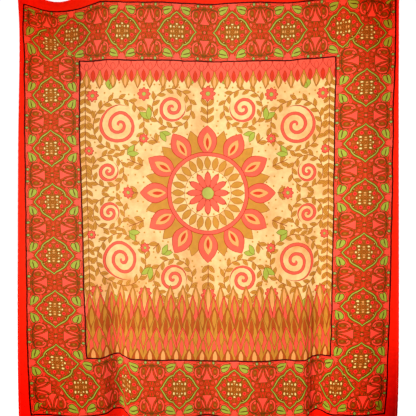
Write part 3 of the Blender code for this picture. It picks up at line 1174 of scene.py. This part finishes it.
def grid_faces(rows, columns, first=0, turned=False):
    """Four-sided faces of a grid of points. Unturned they look to -Y."""
    index = first + np.arange(rows * columns).reshape(rows, columns)
    corners = (index[:-1, :-1], index[1:, :-1], index[1:, 1:], index[:-1, 1:])
    return np.stack(corners[::-1] if turned else corners, axis=2).reshape(-1, 4)


def surface_normals(points):
    """The cross product of the steps down and the steps across, made one long: it looks to -Y."""
    across = np.gradient(points, axis=1)
    down = np.gradient(points, axis=0)
    normal = np.cross(down, across)
    return normal / np.linalg.norm(normal, axis=2, keepdims=True)


def drift(across, down, rows):
    """How far the print is moved at each flat point, in metres: looked up along each height of the table,
    then eased from one height to the next by half a cosine."""
    heights = [height for height, _ in rows]
    moves = [np.interp(across, np.array(list(row)) / 100, list(row.values())) for _, row in rows]
    at = np.interp(down, heights, np.arange(len(heights)))
    low = np.minimum(at.astype(int), len(heights) - 2)
    part = 0.5 - 0.5 * np.cos(np.pi * (at - low))
    here, after = (np.take_along_axis(np.stack(moves), low[None] + step, 0)[0] for step in (0, 1))
    return (here * (1 - part) + after * part) / 1000


def add_object(name, data, location=(0.0, 0.0, 0.0), turn=(0.0, 0.0, 0.0)):
    """An object in the scene, with its place and turn."""
    thing = bpy.data.objects.new(name, data)
    thing.location, thing.rotation_euler = location, turn
    bpy.context.scene.collection.objects.link(thing)
    return thing


def make_mesh(name, points, faces):
    """A mesh object at the origin from whole arrays of points and faces."""
    mesh = bpy.data.meshes.new(name)
    mesh.from_pydata(points.tolist(), [], faces.tolist())
    mesh.shade_smooth()
    return add_object(name, mesh)


def attach(piece, material):
    """Gives a piece its material and its body, and hides the model's part that it stands for."""
    piece.data.materials.append(material)
    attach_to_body(piece, BODY)
    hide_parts(CLOTH_NODE)


def set_map(mesh, name, places):
    """A UV map from one place for each corner of each face."""
    layer = mesh.uv_layers.new(name=name)
    layer.data.foreach_set("uv", np.ascontiguousarray(places, dtype=np.float32).ravel())


class TAPESTRY_OT_stage(bpy.types.Operator):
    """Sets the camera, the soft light and the pale floor"""

    bl_idname = "tapestry.stage"
    bl_label = "Stage"

    def execute(self, context):
        settings = context.scene.tapestry_stage
        camera = bpy.data.cameras.new("camera")
        camera.lens = settings.camera_lens
        camera.sensor_width = 36.0
        camera.clip_end = 60.0
        place = (CAMERA_ACROSS, -settings.camera_distance, settings.camera_height)
        context.scene.camera = add_object("camera", camera, place, (np.pi / 2, 0.0, 0.0))

        lamp = bpy.data.lights.new("soft light", "AREA")
        lamp.shape = "DISK"
        lamp.size = 0.9
        lamp.energy = settings.light_power
        add_object("soft light", lamp, LIGHT_PLACE, LIGHT_TURN)

        lamp = bpy.data.lights.new("side light", "SUN")
        lamp.angle = 0.25
        lamp.energy = settings.side_strength
        turn = Vector(settings.side_from).to_track_quat("Z", "Y").to_euler()
        add_object("side light", lamp, turn=turn)
        context.scene.world = self.studio(settings)
        context.scene.view_settings.view_transform = "Standard"

        turns = np.linspace(0.0, 2 * np.pi, FLOOR_SIDES + 1)[:-1]
        radii = np.array(FLOOR_RADII)[:, None]
        level = settings.floor_level + 0 * radii * turns
        rings = np.stack([radii * np.cos(turns), radii * np.sin(turns), level], axis=2)
        rings = np.concatenate([rings, rings[:, :1]], axis=1)
        floor = make_mesh("floor", rings.reshape(-1, 3), grid_faces(*rings.shape[:2]))
        floor.data.materials.append(self.floor_material(settings))
        return {"FINISHED"}

    @staticmethod
    def studio(settings):
        """Even light from all round, and white behind the cloth where the camera looks past it."""
        shader = Shader(bpy.data.worlds.new("studio"), "Background")
        seen = shader.add("LightPath", {}, {}, "Is Camera Ray")
        strength = shader.add("Mix", {}, {0: seen, 2: settings.sky_strength, 3: BACKDROP_STRENGTH})
        shader.feed(shader.surface, {"Strength": strength, "Color": rgba((1.0, 1.0, 1.0))})
        return shader.owner

    @staticmethod
    def floor_material(settings):
        """Pale matt floor that fades into the white round it away from the cloth."""
        shader = Shader(bpy.data.materials.new("pale floor"))
        place = shader.add("TexCoord", {}, {}, 3)
        flat = shader.vector("MULTIPLY", place, (1.0, 1.0, 0.0))
        far = shader.vector("LENGTH", flat, out=1).scaled(3.0, -0.45, clamp=True)
        grain = shader.noise(place, 18.0, 3.0)
        colour = shader.mixed(grain * 0.06, tuple(settings.floor_colour), (1.0, 1.0, 1.0))
        glow = shader.mixed(far, (0.0, 0.0, 0.0), (1.0, 1.0, 1.0))
        shader.feed(shader.surface, {"Base Color": colour, "Emission Color": glow})
        shader.surface.inputs["Emission Strength"].default_value = 1.0
        shader.surface.inputs["Roughness"].default_value = 0.9
        return shader.owner


class TAPESTRY_OT_cloth(bpy.types.Operator):
    """Hangs the printed cloth on its folds"""

    bl_idname = "tapestry.cloth"
    bl_label = "Printed cloth"

    def execute(self, context):
        settings = context.scene.tapestry_cloth
        down = stations(0.0, CLOTH_DROP, settings.rows + 1)[:, None]
        halves = half_width(down)[:, 0]
        across = np.stack([stations(-half, half, settings.columns + 1, FINE_PLACES) for half in halves])
        rows, columns = across.shape
        face = hung_points(across, down, settings, width_hung(across, down))
        _, inward, _ = hem_share(across, down)
        hem = np.clip((HEM_WIDTH + HEM_STEP_END - inward) / HEM_STEP_RUN, 0.0, 1.0)
        thick = settings.thickness + (settings.hem_thickness - settings.thickness) * hem
        back = face - surface_normals(face) * thick[:, :, None]
        points = np.concatenate([face.reshape(-1, 3), back.reshape(-1, 3)])

        count = rows * columns
        index = np.arange(count).reshape(rows, columns)
        edges = (index[0, ::-1], index[:, 0], index[-1, :], index[::-1, -1])
        rims = [np.stack([rim[:-1] + count, rim[1:] + count, rim[1:], rim[:-1]], axis=1) for rim in edges]
        faces = np.concatenate([grid_faces(rows, columns), grid_faces(rows, columns, count, True), *rims])
        cloth = make_mesh("printed_cloth", points, faces)

        mesh = cloth.data
        down = down + 0 * across
        moved = [across - drift(across, down, ACROSS_DRIFT), down - drift(across, down, DOWN_DRIFT)]
        flat, printed = (
            np.tile(np.stack(parts, axis=2).reshape(-1, 2), (2, 1)) for parts in ((across, down), moved)
        )
        set_map(mesh, PRINT_MAP, printed[faces.ravel()])
        set_map(mesh, BAKE_MAP, self.bake_places(faces, rows, columns, flat, rims))
        side = mesh.attributes.new(FACE_SIDE, "FLOAT", "POINT")
        side.data.foreach_set("value", np.repeat([1.0, 0.0], count).astype(np.float32))

        attach(cloth, printed_cotton(context.scene.tapestry_print))
        return {"FINISHED"}

    @staticmethod
    def bake_places(faces, rows, columns, flat, rims):
        """The bake's own map: the face of the cloth in most of it, the back in a narrow part beside it, and
        the four rims in lanes of their own."""
        fronts = (rows - 1) * (columns - 1)
        across = flat[:, 0] / (2 * half_width(CLOTH_DROP)) + 0.5
        down = BAKE_GAP + (1 - 2 * BAKE_GAP) * (1 - flat[:, 1] / CLOTH_DROP)
        parts = [
            np.stack([start + width * across, down], axis=1)[side]
            for (start, width), side in ((BAKE_FACE, faces[:fronts]), (BAKE_BACK, faces[fronts:2 * fronts]))
        ]
        for number, rim in enumerate(rims):
            ends = np.linspace(BAKE_GAP, 1 - BAKE_GAP, len(rim) + 1)
            here, after = ends[:-1], ends[1:]
            low = np.full(len(rim), BAKE_LANE[0] + LANE_STEP * number)
            high = low + BAKE_LANE[1]
            corners = np.stack([low, here, low, after, high, after, high, here], axis=1)
            parts.append(corners.reshape(-1, 4, 2))
        return np.concatenate(parts).reshape(-1, 2)


class TAPESTRY_OT_stitching(bpy.types.Operator):
    """Sews the hem: one line of small stitches along all four sides"""

    bl_idname = "tapestry.stitching"
    bl_label = "Hem stitching"

    def execute(self, context):
        settings = context.scene.tapestry_stitches
        path = self.seam_path(settings.inset)
        along = np.concatenate([[0.0], np.cumsum(np.linalg.norm(np.diff(path, axis=0), axis=1))])
        starts = np.arange(settings.pitch, along[-1] - settings.pitch, settings.pitch)
        middle, ahead = (
            np.stack([np.interp(starts + more, along, path[:, part]) for part in (0, 1)], axis=1)
            for more in (0.0, AHEAD)
        )
        run = ahead - middle
        run = run / np.linalg.norm(run, axis=1, keepdims=True)
        aside = np.stack([-run[:, 1], run[:, 0]], axis=1)
        lengths, widths, heights = np.array(STITCH_SECTIONS).T
        widths = widths * settings.width / 2
        flat = (
            middle[:, None, None, :]
            + run[:, None, None, :] * (lengths * settings.length)[None, :, None, None]
            + aside[:, None, None, :] * (widths[:, None] * np.array([-1.0, 0.0, 1.0]))[None, :, :, None]
        )
        lift = heights[:, None] * settings.width * STITCH_HEIGHT * np.array([0.0, 1.0, 0.0]) + STITCH_CLEAR
        lift = np.broadcast_to(lift, flat.shape[:3]).ravel()
        raised = self.on_cloth(flat.reshape(-1, 2), lift, context.scene.tapestry_cloth)
        sections, sides = flat.shape[1:3]
        one = np.roll(grid_faces(sections, sides, turned=True), 1, axis=1)
        faces = (one + (np.arange(len(starts)) * sections * sides)[:, None, None]).reshape(-1, 4)
        stitching = make_mesh("hem_stitching", raised, faces)
        attach(stitching, self.thread(settings))
        return {"FINISHED"}

    @staticmethod
    def seam_path(inset):
        """The seam as flat points: down the left side, along the bottom, up the right and back."""
        down = np.linspace(inset, CLOTH_DROP - inset, SEAM_STEPS[0])
        left = np.stack([-(half_width(down) - inset), down], axis=1)
        right = np.stack([half_width(down) - inset, down], axis=1)[::-1]
        across = np.linspace(0.0, 1.0, SEAM_STEPS[1])[:, None]
        bottom = left[-1] + (right[0] - left[-1]) * across
        top = right[-1] + (left[0] - right[-1]) * across
        return np.concatenate([left, bottom[1:], right[1:], top[1:]])

    @staticmethod
    def on_cloth(flat, lift, cloth):
        """Flat points carried to the hung cloth and raised off its face: the face is worked out at each point
        and at two points a step away, which give its slope."""
        across, down = flat[:, 0], flat[:, 1]
        moves = ((0, 0), (SLOPE_STEP, 0), (0, SLOPE_STEP))
        place, right, below = (loose_points(across + aside, down + under, cloth) for aside, under in moves)
        normal = np.cross(below - place, right - place)
        normal = normal / np.linalg.norm(normal, axis=1, keepdims=True)
        return place + normal * lift[:, None]

    @staticmethod
    def thread(settings):
        """Twisted cotton thread: a fine slanted ridge, and dye that varies from stitch to stitch."""
        shader = Shader(bpy.data.materials.new("sewing thread"))
        place = shader.add("TexCoord", {}, {}, 3)
        tone = shader.noise(place, 90.0, 2.0)
        colour = shader.mixed(tone * 0.5, tuple(settings.thread), (0.45, 0.03, 0.02))
        twist = shader.add("TexWave", {"bands_direction": "DIAGONAL"}, {"Vector": place, "Scale": 900.0})
        bump = shader.add("Bump", {}, {"Strength": 0.4, "Distance": 0.0001, "Height": twist})
        rough = tone.scaled(0.2, 0.6)
        shader.feed(shader.surface, {"Base Color": colour, "Normal": bump, "Roughness": rough})
        shader.surface.inputs["Specular IOR Level"].default_value = 0.1
        return shader.owner


class TAPESTRY_PT_sidebar(bpy.types.Panel):
    """Lists the pieces and their settings"""

    bl_idname = "TAPESTRY_PT_sidebar"
    bl_label = "Tapestry"
    bl_space_type = "VIEW_3D"
    bl_region_type = "UI"
    bl_category = "Tapestry"

    def draw(self, context):
        for operator, settings in (
            (TAPESTRY_OT_stage, context.scene.tapestry_stage),
            (TAPESTRY_OT_cloth, context.scene.tapestry_cloth),
            (TAPESTRY_OT_cloth, context.scene.tapestry_print),
            (TAPESTRY_OT_stitching, context.scene.tapestry_stitches),
        ):
            box = self.layout.box()
            box.operator(operator.bl_idname)
            for name in settings.__annotations__:
                box.prop(settings, name)


SETTINGS = {
    "tapestry_stage": TapestryStageSettings,
    "tapestry_cloth": TapestryClothSettings,
    "tapestry_print": TapestryPrintSettings,
    "tapestry_stitches": TapestryStitchSettings,
}
OPERATORS = (TAPESTRY_OT_stage, TAPESTRY_OT_cloth, TAPESTRY_OT_stitching)
CLASSES = (*SETTINGS.values(), *OPERATORS, TAPESTRY_PT_sidebar)


def register():
    for item in CLASSES:
        bpy.utils.register_class(item)
    for name, group in SETTINGS.items():
        setattr(bpy.types.Scene, name, PointerProperty(type=group))


def unregister():
    for name in SETTINGS:
        delattr(bpy.types.Scene, name)
    for item in reversed(CLASSES):
        bpy.utils.unregister_class(item)


def main():
    register()
    bpy.ops.tapestry.stage()
    bpy.ops.tapestry.cloth()
    bpy.ops.tapestry.stitching()


if __name__ == "__main__":
    main()
